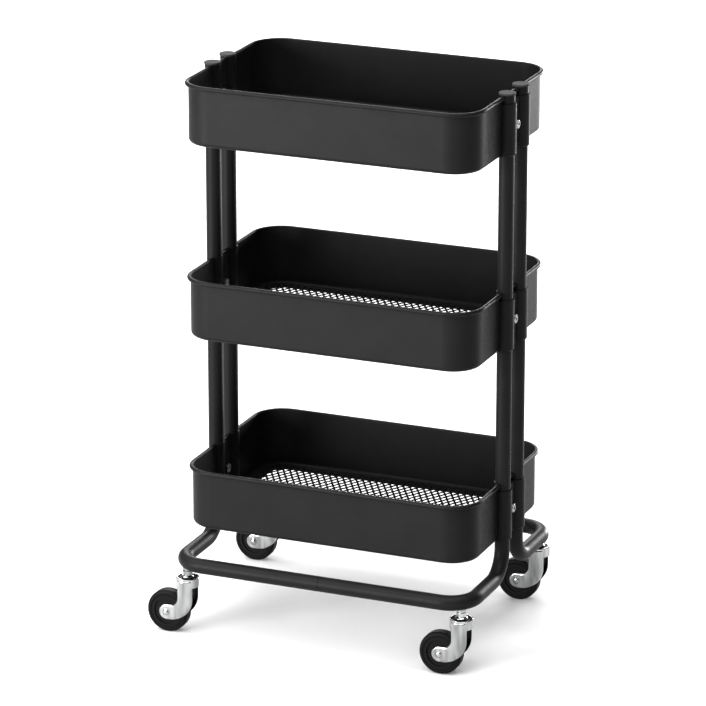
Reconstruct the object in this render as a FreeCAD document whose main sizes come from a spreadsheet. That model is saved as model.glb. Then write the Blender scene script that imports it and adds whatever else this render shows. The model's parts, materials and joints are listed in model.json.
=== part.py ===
"""Three-tier utility trolley.

Three pressed steel trays with mesh floors sit between four tubular uprights. At each tray end a
bracket clamps the front and the rear upright into channels of the tray wall. Below the bottom tray
the uprights bend outwards into a front and a rear rail. Each rail is two tubes, plugged together in
its middle, and stands on two swivel castors.
Millimetres, +Z up, the floor at zero, the long front side towards -Y, left is -X.
"""
import FreeCAD, Part
import math
import os
from types import SimpleNamespace

import Sketcher

Vector = FreeCAD.Vector
UPWARDS = Vector(0, 0, 1)

SIZES = {
    # Pressed trays
    "tray_length": 427.0,
    "tray_width": 295.0,
    "tray_height": 84.0,
    "tray_pitch": 270.0,
    "tray_corner_radius": 45.0,
    "tray_gauge": 0.8,
    "rim_bend_radius": 2.0,
    "rim_flat": 0.3,
    "rim_roll_radius": 3.0,
    "foot_bend_radius": 6.0,
    "ledge_width": 22.0,
    # Mesh floors
    "mesh_gauge": 1.2,
    "mesh_edge_gap": 2.0,
    "mesh_border": 3.0,
    "strand_width": 2.4,
    "mesh_pitch_along": 20.4,
    "mesh_pitch_across": 36.0,
    # Tubes
    "tube_diameter": 21.0,
    "tube_wall": 1.0,
    "tube_standoff": 3.4,
    "tube_pair_spacing": 50.4,
    "tube_bend_radius": 37.0,
    "rail_outset": 12.0,
    "upright_straight": 11.0,
    "joint_rise": 40.0,
    "spigot_length": 25.0,
    "slip_fit": 0.1,
    "rail_joint_gap": 0.6,
    # End caps
    "cap_diameter": 23.0,
    "cap_thickness": 2.4,
    "cap_edge_radius": 0.8,
    "cap_plug_length": 12.0,
    "cap_seat_rise": 0.6,
    # Brackets and their fasteners
    "bracket_gauge": 2.0,
    "bracket_web": 6.0,
    "bracket_foot_rise": 2.5,
    "bracket_top_drop": 11.0,
    "bracket_chamfer": 1.2,
    "bolt_rise": 38.0,
    "bolt_diameter": 6.0,
    "bolt_head_diameter": 12.5,
    "bolt_head_height": 5.0,
    "bolt_head_edge_radius": 1.6,
    "bolt_socket_width": 4.0,
    "bolt_socket_depth": 2.0,
    "thread_engagement": 2.4,
    "thread_gap": 0.3,
    "thread_fit": 0.05,
    "nut_diameter": 12.3,
    "nut_crown": 1.3,
    "nut_edge_radius": 0.8,
    "nut_slot_width": 1.4,
    "nut_slot_depth": 1.0,
    # Castor wheels
    "wheel_diameter": 60.0,
    "wheel_width": 18.0,
    "tyre_side": 4.0,
    "tyre_shoulder_radius": 4.0,
    "tyre_groove_depth": 0.7,
    "hub_rim_width": 3.0,
    "hub_recess": 2.0,
    "hub_boss_diameter": 15.0,
    "hub_play": 0.3,
    "press_gap": 0.05,
    "bearing_fit": 0.08,
    "axle_diameter": 6.0,
    "axle_head_diameter": 9.0,
    "axle_head_height": 2.0,
    # Castor forks
    "fork_cup_diameter": 33.6,
    "fork_gauge": 2.2,
    "fork_skirt": 13.0,
    "fork_lip": 2.0,
    "fork_edge_radius": 0.8,
    "arm_width": 22.8,
    "arm_straight": 18.7,
    "arm_bend_radius": 9.4,
    "arm_reach": 7.2,
    "arm_blend_radius": 12.0,
    "arm_gap": 0.9,
    # Castor swivels
    "castor_neck": 12.0,
    "swivel_gap": 0.4,
    "stem_diameter": 8.0,
    "stem_head_diameter": 22.0,
    "stem_head_height": 2.5,
    "ball_diameter": 4.0,
    "ball_circle_diameter": 16.0,
    "ball_gap": 0.3,
    "cone_base_diameter": 20.0,
    "cone_base_height": 2.0,
    "cone_top_diameter": 13.0,
    "insert_diameter": 13.0,
    # How far cuts run past the faces that they open
    "overrun": 1.0,
}
BALL_COUNT = 10
TIERS = ("bottom", "middle", "top")
SIDES = {"left": -1, "right": 1}
ENDS = {"front": -1, "rear": 1}


class Size:
    """A length, kept both as a number and as the sheet formula that gives it."""

    def __init__(self, value, formula):
        self.value = float(value)
        self.formula = formula

    @staticmethod
    def of(item):
        return item if isinstance(item, Size) else Size(item, repr(item))

    def __add__(self, other):
        other = Size.of(other)
        return Size(self.value + other.value, f"({self.formula} + {other.formula})")

    def __sub__(self, other):
        other = Size.of(other)
        return Size(self.value - other.value, f"({self.formula} - {other.formula})")

    def __mul__(self, other):
        other = Size.of(other)
        return Size(self.value * other.value, f"({self.formula} * {other.formula})")

    def __truediv__(self, other):
        other = Size.of(other)
        return Size(self.value / other.value, f"({self.formula} / {other.formula})")

    def __neg__(self):
        return Size(-self.value, f"(0 - {self.formula})")

    def root(self):
        return Size(math.sqrt(self.value), f"sqrt({self.formula})")


ZERO = Size(0, "0")


def half_chord(radius, offset):
    """Half the chord that a circle cuts from a line at this offset from its centre."""
    return (radius * radius - offset * offset).root()


def derive(size):
    """The sizes and heights that follow from the driving ones."""
    part = SimpleNamespace(**vars(size))
    part.tube_r = size.tube_diameter / 2
    part.bore_r = part.tube_r - size.tube_wall
    part.channel_r = part.tube_r + size.slip_fit
    part.spigot_r = part.bore_r - size.slip_fit
    part.spigot_bore_r = part.spigot_r - size.tube_wall
    part.swage_length = size.tube_wall * 2
    part.rim_overhang = size.rim_bend_radius - size.tray_gauge + size.rim_flat + size.rim_roll_radius
    part.wall_x = size.tray_length / 2 - part.rim_overhang
    part.wall_y = size.tray_width / 2 - part.rim_overhang
    part.wall_corner_r = size.tray_corner_radius - part.rim_overhang
    part.post_x = part.wall_x + size.tube_standoff
    part.post_y = size.tube_pair_spacing / 2
    part.rail_y = size.tray_width / 2 + size.rail_outset
    part.bend_middle = size.tube_bend_radius * (1 - math.sqrt(0.5))
    part.castor_x = part.post_x - part.bend_middle
    part.castor_y = part.rail_y - part.bend_middle
    part.wheel_r = size.wheel_diameter / 2
    part.tyre_inner_r = part.wheel_r - size.tyre_shoulder_radius - size.tyre_side
    part.arm_half = size.arm_width / 2
    part.arm_turn_x = part.arm_half + size.arm_bend_radius
    part.trail = part.arm_turn_x + size.arm_reach
    part.arm_turn_z = part.wheel_r + part.arm_turn_x
    part.skirt_z = part.arm_turn_z + size.arm_straight
    part.lip_z = part.skirt_z + size.fork_skirt
    part.plate_z = part.lip_z - size.fork_lip
    part.tube_under_z = part.lip_z + size.castor_neck
    part.rail_z = part.tube_under_z + part.tube_r
    part.tray_z = part.rail_z + size.tube_bend_radius + size.upright_straight
    part.cap_z = part.tray_z + size.tray_pitch * (len(TIERS) - 1) + size.tray_height + size.cap_seat_rise
    part.arm_outer_y = size.wheel_width / 2 + size.arm_gap + size.fork_gauge
    part.bracket_r = part.channel_r + size.bracket_gauge
    bracket_reach = part.post_x + part.bracket_r
    wheel_reach = part.castor_x + part.trail + part.wheel_r
    part.middle_x = (wheel_reach - bracket_reach) / 2
    return part


doc = FreeCAD.newDocument("utility_trolley")
sheet = doc.addObject("Spreadsheet::Sheet", "sizes")
for row, (alias, number) in enumerate(SIZES.items(), start=1):
    sheet.set(f"A{row}", alias)
    sheet.set(f"B{row}", str(number))
    sheet.setAlias(f"B{row}", alias)
doc.recompute()

dim = derive(SimpleNamespace(**{alias: Size(number, f"sizes.{alias}") for alias, number in SIZES.items()}))
nodes = []


def place(item, x=ZERO, y=ZERO, z=ZERO, turn=0):
    """Stands an item at a point of the trolley, measured from the middle of the trays on the floor."""
    item.Placement = FreeCAD.Placement(Vector(), FreeCAD.Rotation(UPWARDS, turn))
    for axis, offset in zip("xyz", (x + dim.middle_x, y, z)):
        item.setExpression(f"Placement.Base.{axis}", offset.formula)


def new_body(label):
    body = doc.addObject("PartDesign::Body", label)
    body.Label = label
    nodes.append(body)
    return body


def new_feature(label, shape):
    feature = doc.addObject("Part::Feature", label)
    feature.Label = label
    feature.Shape = shape
    nodes.append(feature)
    return feature


def sketch_on(body, role, purpose):
    sketch = body.newObject("Sketcher::SketchObject", f"{body.Label}_{purpose}")
    plane = next(item for item in body.Origin.OriginFeatures if item.Role == role)
    sketch.AttachmentSupport = [(plane, "")]
    sketch.MapMode = "FlatFace"
    return sketch


def bind(sketch, constraint, size):
    index = sketch.addConstraint(constraint)
    sketch.setExpression(f"Constraints[{index}]", size.formula)


def bind_point(sketch, geometry, place_on_it, x, y):
    bind(sketch, Sketcher.Constraint("DistanceX", -1, 1, geometry, place_on_it, x.value), x)
    bind(sketch, Sketcher.Constraint("DistanceY", -1, 1, geometry, place_on_it, y.value), y)


def arc_between(start, finish, radius, turn):
    """The shorter arc between two points, counter-clockwise for a turn of 1, clockwise for -1."""
    chord = finish - start
    rise = math.sqrt(max(radius ** 2 - chord.Length ** 2 / 4, 0)) * turn
    centre = (start + finish) / 2 + Vector(-chord.y, chord.x, 0).normalize() * rise
    first, last = (start, finish) if turn > 0 else (finish, start)
    angles = [math.atan2(point.y - centre.y, point.x - centre.x) for point in (first, last)]
    return Part.ArcOfCircle(Part.Circle(centre, UPWARDS, radius), *angles)


def add_loop(sketch, corners):
    """A closed outline: each corner is (x, y), or (x, y, radius, turn) where an arc arrives at it."""
    points = [Vector(corner[0].value, corner[1].value, 0) for corner in corners]
    edges = []
    for index, corner in enumerate(corners):
        start, finish = points[index - 1], points[index]
        if len(corner) == 2:
            edges.append((sketch.addGeometry(Part.LineSegment(start, finish)), 1, 2))
            continue
        radius, turn = corner[2:]
        arc = sketch.addGeometry(arc_between(start, finish, radius.value, turn))
        edges.append((arc, 1, 2) if turn > 0 else (arc, 2, 1))
    for index, corner in enumerate(corners):
        geometry, _, end = edges[index]
        following, start, _ = edges[(index + 1) % len(edges)]
        sketch.addConstraint(Sketcher.Constraint("Coincident", geometry, end, following, start))
        bind_point(sketch, geometry, end, corner[0], corner[1])
    for (geometry, _, _), corner in zip(edges, corners):
        if len(corner) > 2:
            bind(sketch, Sketcher.Constraint("Radius", geometry, corner[2].value), corner[2])


def add_circle(sketch, x, y, radius):
    circle = sketch.addGeometry(Part.Circle(Vector(x.value, y.value, 0), UPWARDS, radius.value))
    bind_point(sketch, circle, 3, x, y)
    bind(sketch, Sketcher.Constraint("Radius", circle, radius.value), radius)


def pad(body, sketch, length):
    feature = body.newObject("PartDesign::Pad", f"{sketch.Label}_pad")
    feature.Profile = sketch
    feature.setExpression("Length", length.formula)
    return feature


def pocket_through(body, sketch):
    """Cuts the sketch right through the body, on both sides of its plane."""
    feature = body.newObject("PartDesign::Pocket", f"{sketch.Label}_pocket")
    feature.Profile = sketch
    feature.Type = "ThroughAll"
    feature.SideType = "Symmetric"
    return feature


def turned_body(label, corners):
    """A piece turned about Z, from its outline of (radius, height) corners."""
    body = new_body(label)
    sketch = sketch_on(body, "XZ_Plane", "outline")
    add_loop(sketch, corners)
    feature = body.newObject("PartDesign::Revolution", f"{label}_turning")
    feature.Profile = sketch
    feature.ReferenceAxis = (sketch, ["V_Axis"])
    feature.Angle = 360
    return body


def rounded_rectangle(x, y, radius):
    """Corners of a plan about the origin, from the front side round to it again."""
    return [
        (x - radius, -y), (x, radius - y, radius, 1),
        (x, y - radius), (x - radius, y, radius, 1),
        (radius - x, y), (-x, y - radius, radius, 1),
        (-x, radius - y), (radius - x, -y, radius, 1),
    ]


def tray_section():
    """The bent sheet across the front wall: floor ledge, wall and the rim that is rolled outwards."""
    top, gauge, overhang = dim.tray_height, dim.tray_gauge, dim.rim_overhang
    bend, roll, foot = dim.rim_bend_radius, dim.rim_roll_radius, dim.foot_bend_radius
    wall = -dim.wall_y
    bend_y = wall - bend + gauge
    roll_y = wall - overhang + roll
    return [
        (wall, foot, foot, -1),
        (wall, top - bend),
        (bend_y, top - gauge, bend - gauge, 1),
        (roll_y, top - gauge),
        (wall - overhang + gauge, top - roll, roll - gauge, 1),
        (roll_y, top - roll * 2 + gauge, roll - gauge, 1),
        (roll_y, top - roll * 2),
        (wall - overhang, top - roll, roll, -1),
        (roll_y, top, roll, -1),
        (bend_y, top),
        (wall + gauge, top - bend, bend, -1),
        (wall + gauge, foot),
        (wall + foot, gauge, foot - gauge, 1),
        (wall + dim.ledge_width, gauge),
        (wall + dim.ledge_width, ZERO),
        (wall + foot, ZERO),
    ]


def make_tray(tier, underside):
    body = new_body(f"{tier}_tray")
    path = sketch_on(body, "XY_Plane", "path")
    front_middle = (ZERO, -dim.wall_y)
    add_loop(path, rounded_rectangle(dim.wall_x, dim.wall_y, dim.wall_corner_r) + [front_middle])
    section = sketch_on(body, "YZ_Plane", "section")
    add_loop(section, tray_section())
    sheet_metal = body.newObject("PartDesign::AdditivePipe", f"{tier}_tray_sheet")
    sheet_metal.Profile = section
    sheet_metal.Spine = (path, [])
    bulge_r = dim.channel_r + dim.tray_gauge
    reach = half_chord(bulge_r, dim.tube_standoff)
    bulges = sketch_on(body, "XY_Plane", "bulges")
    channels = sketch_on(body, "XY_Plane", "channels")
    for side in SIDES.values():
        for end in ENDS.values():
            wall = dim.wall_x * side
            middle = dim.post_y * end
            add_loop(bulges, [(wall, middle - reach), (wall, middle + reach, bulge_r, -side)])
            add_circle(channels, dim.post_x * side, middle, dim.channel_r)
    pad(body, bulges, dim.tray_height)
    pocket_through(body, channels)
    holes = sketch_on(body, "YZ_Plane", "bolt_holes")
    add_circle(holes, ZERO, dim.bolt_rise, dim.bolt_diameter / 2 + dim.thread_fit)
    pocket_through(body, holes)
    place(body, z=underside)


def flat_wire(corners):
    """A closed wire on the XY plane, from corners as add_loop takes them."""
    points = [Vector(corner[0].value, corner[1].value, 0) for corner in corners]
    edges = []
    for index, corner in enumerate(corners):
        start, finish = points[index - 1], points[index]
        if len(corner) == 2:
            edges.append(Part.LineSegment(start, finish).toShape())
        else:
            edges.append(arc_between(start, finish, corner[2].value, corner[3]).toShape())
    return Part.Wire(edges)


def mesh_panel():
    """Expanded metal: staggered rows of diamond holes in one sheet with a plain border."""
    inset = dim.wall_x - (dim.post_x - dim.channel_r - dim.tray_gauge - dim.mesh_edge_gap)
    half_x, half_y, corner = dim.wall_x - inset, dim.wall_y - inset, dim.wall_corner_r - inset
    straight_x, straight_y = (half_x - corner).value, (half_y - corner).value
    hole_limit = (corner - dim.mesh_border).value
    half_along, half_across = dim.mesh_pitch_along.value / 2, dim.mesh_pitch_across.value / 2
    strand_offset = half_along * half_across / math.hypot(half_along, half_across)
    open_share = 1 - dim.strand_width.value / 2 / strand_offset
    tip_x, tip_y = half_along * open_share, half_across * open_share
    diamond = [Vector(tip_x, 0, 0), Vector(0, tip_y, 0), Vector(-tip_x, 0, 0), Vector(0, -tip_y, 0)]
    columns, rows = int(half_x.value / half_along), int(half_y.value / half_across)
    wires = [flat_wire(rounded_rectangle(half_x, half_y, corner))]
    for column in range(-columns, columns + 1):
        for line in range(-rows, rows + 1):
            if (column + line) % 2:
                continue
            tips = [tip + Vector(column * half_along, line * half_across, 0) for tip in diamond]
            past_corner = [math.hypot(max(abs(tip.x) - straight_x, 0), max(abs(tip.y) - straight_y, 0))
                           for tip in tips]
            if max(past_corner) < hole_limit:
                wires.append(Part.makePolygon(tips + tips[:1]))
    face = Part.Face(wires, "Part::FaceMakerBullseye")
    return face.extrude(UPWARDS * dim.mesh_gauge.value)


def make_mesh_floor(tier, panel, underside):
    """A mesh panel lying on the tray's ledge."""
    place(new_feature(f"{tier}_mesh_floor", panel.copy()), z=underside + dim.tray_gauge)


def make_bracket(label, side, underside):
    """Clamp that wraps both tubes of one tray end, with its flat back on the tray wall."""
    standoff, spacing, web = dim.tube_standoff, dim.post_y, dim.bracket_web
    inner, outer = dim.channel_r, dim.bracket_r
    outer_edge = spacing + half_chord(outer, standoff)
    inner_far = spacing + half_chord(inner, standoff)
    inner_near = spacing - half_chord(inner, standoff)
    web_edge = spacing - half_chord(outer, web - standoff)
    outline = [
        (ZERO, -outer_edge),
        (standoff + outer, -spacing, outer, 1),
        (web, -web_edge, outer, 1),
        (web, web_edge),
        (standoff + outer, spacing, outer, 1),
        (ZERO, outer_edge, outer, 1),
        (ZERO, inner_far),
        (standoff + inner, spacing, inner, -1),
        (ZERO, inner_near, inner, -1),
        (ZERO, -inner_near),
        (standoff + inner, -spacing, inner, -1),
        (ZERO, -inner_far, inner, -1),
    ]
    body = new_body(label)
    plan = sketch_on(body, "XY_Plane", "plan")
    add_loop(plan, outline)
    pad(body, plan, dim.tray_height - dim.bracket_top_drop - dim.bracket_foot_rise)
    hole = sketch_on(body, "YZ_Plane", "bolt_hole")
    add_circle(hole, ZERO, dim.bolt_rise - dim.bracket_foot_rise, dim.bolt_diameter / 2 + dim.thread_fit)
    drilled = pocket_through(body, hole)
    doc.recompute()
    foot_edges = []
    for number, edge in enumerate(drilled.Shape.Edges, start=1):
        round_edge = isinstance(edge.Curve, Part.Circle) and abs(edge.Curve.Radius - outer.value) < 1e-6
        if round_edge and edge.BoundBox.ZMax < dim.bracket_chamfer.value:
            foot_edges.append(f"Edge{number}")
    chamfer = body.newObject("PartDesign::Chamfer", f"{label}_foot")
    chamfer.Base = (drilled, foot_edges)
    chamfer.setExpression("Size", dim.bracket_chamfer.formula)
    place(body, x=dim.wall_x * side, z=underside + dim.bracket_foot_rise, turn=0 if side > 0 else 180)


def bent_path(points, bend_radius):
    """Straight runs between the points, joined by tangent quarter bends."""
    edges = []
    start = points[0]
    for index in range(1, len(points) - 1):
        corner = points[index]
        arriving = (corner - points[index - 1]).normalize()
        leaving = (points[index + 1] - corner).normalize()
        before = corner - arriving * bend_radius
        after = corner + leaving * bend_radius
        halfway = corner + (leaving - arriving) * bend_radius * (1 - math.sqrt(0.5))
        edges.append(Part.LineSegment(start, before).toShape())
        edges.append(Part.Arc(before, halfway, after).toShape())
        start = after
    edges.append(Part.LineSegment(start, points[-1]).toShape())
    return Part.Wire(edges)


def swaged_end():
    """The end of a tube along Z, narrowed above its shoulder at zero to a plug for the next tube."""
    outline = [
        (dim.bore_r, -dim.swage_length),
        (dim.tube_r, -dim.swage_length),
        (dim.tube_r, ZERO),
        (dim.spigot_r, ZERO),
        (dim.spigot_r, dim.spigot_length),
        (dim.spigot_bore_r, dim.spigot_length),
        (dim.spigot_bore_r, ZERO),
    ]
    return turned_shape([(radius.value, height.value) for radius, height in outline])


def make_base_tube(end, side):
    """An upright, a leg and half a rail, bent from one tube and drilled for its castor.

    In the middle of the rail the swaged end of the left half plugs into the right half.
    """
    y_direction, x_direction = ENDS[end], SIDES[side]
    post_x, post_y = dim.post_x.value * x_direction, dim.post_y.value * y_direction
    rail_y, rail_z = dim.rail_y.value * y_direction, dim.rail_z.value
    joint_z = (dim.tray_z + dim.joint_rise).value
    plugs_in = side == "left"
    rail_end = -dim.swage_length.value if plugs_in else dim.rail_joint_gap.value
    points = [
        Vector(post_x, post_y, joint_z),
        Vector(post_x, post_y, rail_z),
        Vector(post_x, rail_y, rail_z),
        Vector(rail_end, rail_y, rail_z),
    ]
    path = bent_path(points, dim.tube_bend_radius.value)
    circles = [Part.Circle(points[0], UPWARDS, radius.value) for radius in (dim.tube_r, dim.bore_r)]
    section = Part.Face([Part.Wire(circle.toShape()) for circle in circles], "Part::FaceMakerBullseye")
    tube = path.makePipe(section)
    if plugs_in:
        plug = swaged_end()
        plug.rotate(Vector(), Vector(0, 1, 0), 90)
        plug.translate(Vector(0, rail_y, rail_z))
        tube = tube.fuse(plug).removeSplitter()
    hole_r = (dim.insert_diameter / 2 + dim.press_gap).value
    hole_foot = dim.tube_under_z.value - dim.overrun.value
    foot = Vector(dim.castor_x.value * x_direction, dim.castor_y.value * y_direction, hole_foot)
    tube = tube.cut(Part.makeCylinder(hole_r, rail_z - hole_foot, foot))
    place(new_feature(f"{end}_{side}_base_tube", tube))


def make_straight_tube(label, x, y, foot, top):
    """Upright tube whose swaged lower end plugs into the tube below it."""
    length = top - foot
    body = turned_body(label, [
        (dim.spigot_bore_r, -dim.spigot_length),
        (dim.spigot_r, -dim.spigot_length),
        (dim.spigot_r, ZERO),
        (dim.tube_r, ZERO),
        (dim.tube_r, length),
        (dim.bore_r, length),
        (dim.bore_r, dim.swage_length),
        (dim.spigot_bore_r, ZERO),
    ])
    place(body, x, y, foot)


def make_end_cap(label, x, y):
    """Plastic disc with a hollow plug, pushed into the top of an upright."""
    edge, radius, plug_r = dim.cap_edge_radius, dim.cap_diameter / 2, dim.spigot_r
    body = turned_body(label, [
        (ZERO, ZERO),
        (plug_r - dim.tube_wall, ZERO),
        (plug_r - dim.tube_wall, -dim.cap_plug_length),
        (plug_r, -dim.cap_plug_length),
        (plug_r, ZERO),
        (radius, ZERO),
        (radius, dim.cap_thickness - edge),
        (radius - edge, dim.cap_thickness, edge, 1),
        (ZERO, dim.cap_thickness),
    ])
    place(body, x, y, dim.cap_z)


def turned_shape(points):
    """A solid turned about Z from plain (radius, height) points, with arcs given by (middle, end) pairs."""
    edges = []
    start = Vector(points[0][0], 0, points[0][1])
    for point in points[1:] + points[:1]:
        if isinstance(point[0], tuple):
            middle, finish = (Vector(radius, 0, height) for radius, height in point)
            edges.append(Part.Arc(start, middle, finish).toShape())
        else:
            finish = Vector(point[0], 0, point[1])
            edges.append(Part.LineSegment(start, finish).toShape())
        start = finish
    return Part.Face(Part.Wire(edges)).revolve(Vector(), UPWARDS, 360)


def round_corner(radius, height, edge):
    """The middle and the end of a rounded upper corner, for turned_shape."""
    slack = edge * (1 - math.sqrt(0.5))
    return ((radius - slack, height - slack), (radius - edge, height))


def bolt_shape():
    """Button head above zero, shank below it down to the thread's end."""
    radius, height = dim.bolt_head_diameter.value / 2, dim.bolt_head_height.value
    edge, shank = dim.bolt_head_edge_radius.value, dim.bolt_diameter.value / 2
    tip = -(dim.bracket_web + dim.tray_gauge + dim.thread_engagement).value
    solid = turned_shape([
        (0, tip), (shank, tip), (shank, 0), (radius, 0), (radius, height - edge),
        round_corner(radius, height, edge), (0, height),
    ])
    socket_r = dim.bolt_socket_width.value / math.sqrt(3)
    corners = [Vector(socket_r * math.cos(angle), socket_r * math.sin(angle), height)
               for angle in (math.radians(60 * step) for step in range(7))]
    socket = Part.Face(Part.makePolygon(corners)).extrude(UPWARDS * -dim.bolt_socket_depth.value)
    return solid.cut(socket)


def nut_shape():
    """Slotted round nut with a blind thread, its seat at zero."""
    radius, edge = dim.nut_diameter.value / 2, dim.nut_edge_radius.value
    thread_r = (dim.bolt_diameter / 2 + dim.thread_fit).value
    thread_end = (dim.thread_engagement + dim.thread_gap).value
    height = thread_end + dim.nut_crown.value
    solid = turned_shape([
        (0, thread_end), (thread_r, thread_end), (thread_r, 0), (radius, 0), (radius, height - edge),
        round_corner(radius, height, edge), (0, height),
    ])
    width, depth, past = dim.nut_slot_width.value, dim.nut_slot_depth.value, dim.overrun.value
    reach = radius + past
    slot = Part.makeBox(width, reach * 2, depth + past, Vector(-width / 2, -reach, height - depth))
    return solid.cut(slot)


def placed_copy(shape, seat, direction):
    """A copy of a turned shape, seated at a point with its axis in this direction."""
    copy = shape.copy()
    copy.Placement = FreeCAD.Placement(seat, FreeCAD.Rotation(UPWARDS, direction))
    return copy


def make_fasteners():
    """A bolt from outside and a slotted nut inside, through each bracket and tray wall."""
    bolt, nut = bolt_shape(), nut_shape()
    bolts, nuts = [], []
    bolt_x = (dim.wall_x + dim.bracket_web).value
    nut_x = (dim.wall_x - dim.tray_gauge).value
    for tier in range(len(TIERS)):
        height = (dim.tray_z + dim.tray_pitch * tier + dim.bolt_rise).value
        for side in SIDES.values():
            outwards = Vector(side, 0, 0)
            bolts.append(placed_copy(bolt, Vector(bolt_x * side, 0, height), outwards))
            nuts.append(placed_copy(nut, Vector(nut_x * side, 0, height), -outwards))
    place(new_feature("bracket_bolts", Part.makeCompound(bolts)))
    place(new_feature("bracket_nuts", Part.makeCompound(nuts)))


def make_castor_inserts():
    """Threaded bushes welded into the bends of the base tubes, one over each castor."""
    length = dim.tube_r.value
    rings = []
    for side in SIDES.values():
        for end in ENDS.values():
            foot = Vector(dim.castor_x.value * side, dim.castor_y.value * end, dim.tube_under_z.value)
            bush = Part.makeCylinder(dim.insert_diameter.value / 2, length, foot)
            thread_r = (dim.stem_diameter / 2 + dim.thread_fit).value
            rings.append(bush.cut(Part.makeCylinder(thread_r, length, foot)))
    place(new_feature("castor_inserts", Part.makeCompound(rings)))


def ball_height():
    return dim.plate_z - dim.fork_gauge - dim.press_gap - dim.ball_diameter / 2


def make_stem(castor, x, y):
    """Kingpin: a head that holds the fork up under its balls, and a shank threaded into the tube."""
    head_top = ball_height() - dim.ball_diameter / 2 - dim.ball_gap
    head_r, shank_r = dim.stem_head_diameter / 2, dim.stem_diameter / 2
    place(turned_body(f"{castor}_stem", [
        (ZERO, head_top - dim.stem_head_height),
        (head_r, head_top - dim.stem_head_height),
        (head_r, head_top),
        (shank_r, head_top),
        (shank_r, dim.rail_z),
        (ZERO, dim.rail_z),
    ]), x, y)


def make_cone_nut(castor, x, y):
    """Tapered nut that locks the kingpin against the tube, just clear of the turning cup."""
    bore, foot = dim.stem_diameter / 2 + dim.thread_fit, dim.plate_z + dim.swivel_gap
    place(turned_body(f"{castor}_cone_nut", [
        (bore, foot),
        (dim.cone_base_diameter / 2, foot),
        (dim.cone_base_diameter / 2, foot + dim.cone_base_height),
        (dim.cone_top_diameter / 2, dim.tube_under_z),
        (bore, dim.tube_under_z),
    ]), x, y)


def make_swivel_balls(castor, x, y):
    """Bearing balls in a ring, between the cup's plate and the kingpin's head."""
    radius, ring_r = dim.ball_diameter.value / 2, dim.ball_circle_diameter.value / 2
    height = ball_height().value
    balls = []
    for number in range(BALL_COUNT):
        angle = 2 * math.pi * number / BALL_COUNT
        middle = Vector(ring_r * math.cos(angle), ring_r * math.sin(angle), height)
        balls.append(Part.makeSphere(radius, middle))
    place(new_feature(f"{castor}_swivel_balls", Part.makeCompound(balls)), x, y)


def arm_outline():
    """Plan of the arms: round under the cup, then blending into a flat on each side of the wheel."""
    gauge, blend = dim.fork_gauge, dim.arm_blend_radius
    outer, flat = dim.fork_cup_diameter / 2, dim.arm_outer_y
    inner, reach = outer - gauge, outer + blend
    blend_x = -half_chord(reach, flat + blend)
    trailing = -(dim.trail + dim.arm_half + dim.overrun)

    def joint(radius, side):
        return blend_x * radius / reach, (flat + blend) * side * radius / reach

    return [
        (trailing, -flat),
        (blend_x, -flat),
        (*joint(outer, -1), blend, -1),
        (outer, ZERO, outer, 1),
        (*joint(outer, 1), outer, 1),
        (blend_x, flat, blend, -1),
        (trailing, flat),
        (trailing, flat - gauge),
        (blend_x, flat - gauge),
        (*joint(inner, 1), blend + gauge, 1),
        (inner, ZERO, inner, -1),
        (*joint(inner, -1), inner, -1),
        (blend_x, gauge - flat, blend + gauge, 1),
        (trailing, gauge - flat),
    ]


def arm_waste():
    """What is cut from the arms, seen from the side: all that lies outside their hooked shape."""
    half, bend, turn_x, turn_z = dim.arm_half, dim.arm_bend_radius, dim.arm_turn_x, dim.arm_turn_z
    axle_x, axle_z, outer = -dim.trail, dim.wheel_r, dim.arm_bend_radius + dim.arm_width
    margin = dim.overrun * 2
    left, foot = axle_x - half - margin, axle_z - half - margin
    right = dim.fork_cup_diameter / 2 + half
    return [
        (-half, dim.skirt_z),
        (-half, turn_z),
        (-turn_x, turn_z - bend, bend, -1),
        (axle_x, axle_z + half),
        (axle_x - half, axle_z, half, 1),
        (axle_x, axle_z - half, half, 1),
        (-turn_x, axle_z - half),
        (half, turn_z, outer, 1),
        (half, dim.skirt_z),
        (right, dim.skirt_z),
        (right, foot),
        (left, foot),
        (left, dim.skirt_z),
    ]


def make_fork(castor, x, y):
    """Pressed fork: a cup round the swivel and two hooked arms that carry the axle."""
    outer, gauge, edge = dim.fork_cup_diameter / 2, dim.fork_gauge, dim.fork_edge_radius
    inner, hole_r = outer - gauge, dim.stem_diameter / 2 + dim.bearing_fit
    body = turned_body(f"{castor}_fork", [
        (hole_r, dim.plate_z - gauge),
        (inner, dim.plate_z - gauge),
        (inner, dim.skirt_z),
        (outer, dim.skirt_z),
        (outer, dim.lip_z - edge),
        (outer - edge, dim.lip_z, edge, 1),
        (inner, dim.lip_z),
        (inner, dim.plate_z),
        (hole_r, dim.plate_z),
    ])
    foot = dim.wheel_r - dim.arm_half - dim.overrun
    plan = sketch_on(body, "XY_Plane", "arm_plan")
    plan.setExpression("AttachmentOffset.Base.z", foot.formula)
    add_loop(plan, arm_outline())
    pad(body, plan, dim.skirt_z - foot)
    waste = sketch_on(body, "XZ_Plane", "arm_waste")
    add_loop(waste, arm_waste())
    pocket_through(body, waste)
    holes = sketch_on(body, "XZ_Plane", "axle_holes")
    add_circle(holes, -dim.trail, dim.wheel_r, dim.axle_diameter / 2 + dim.press_gap)
    pocket_through(body, holes)
    place(body, x, y)


def lay_on_axle(body, x, y):
    """Turns a piece from the Z axis on to the wheel's axle."""
    place(body, x - dim.trail, y, dim.wheel_r)
    body.Placement.Rotation = FreeCAD.Rotation(UPWARDS, Vector(0, 1, 0))


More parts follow.
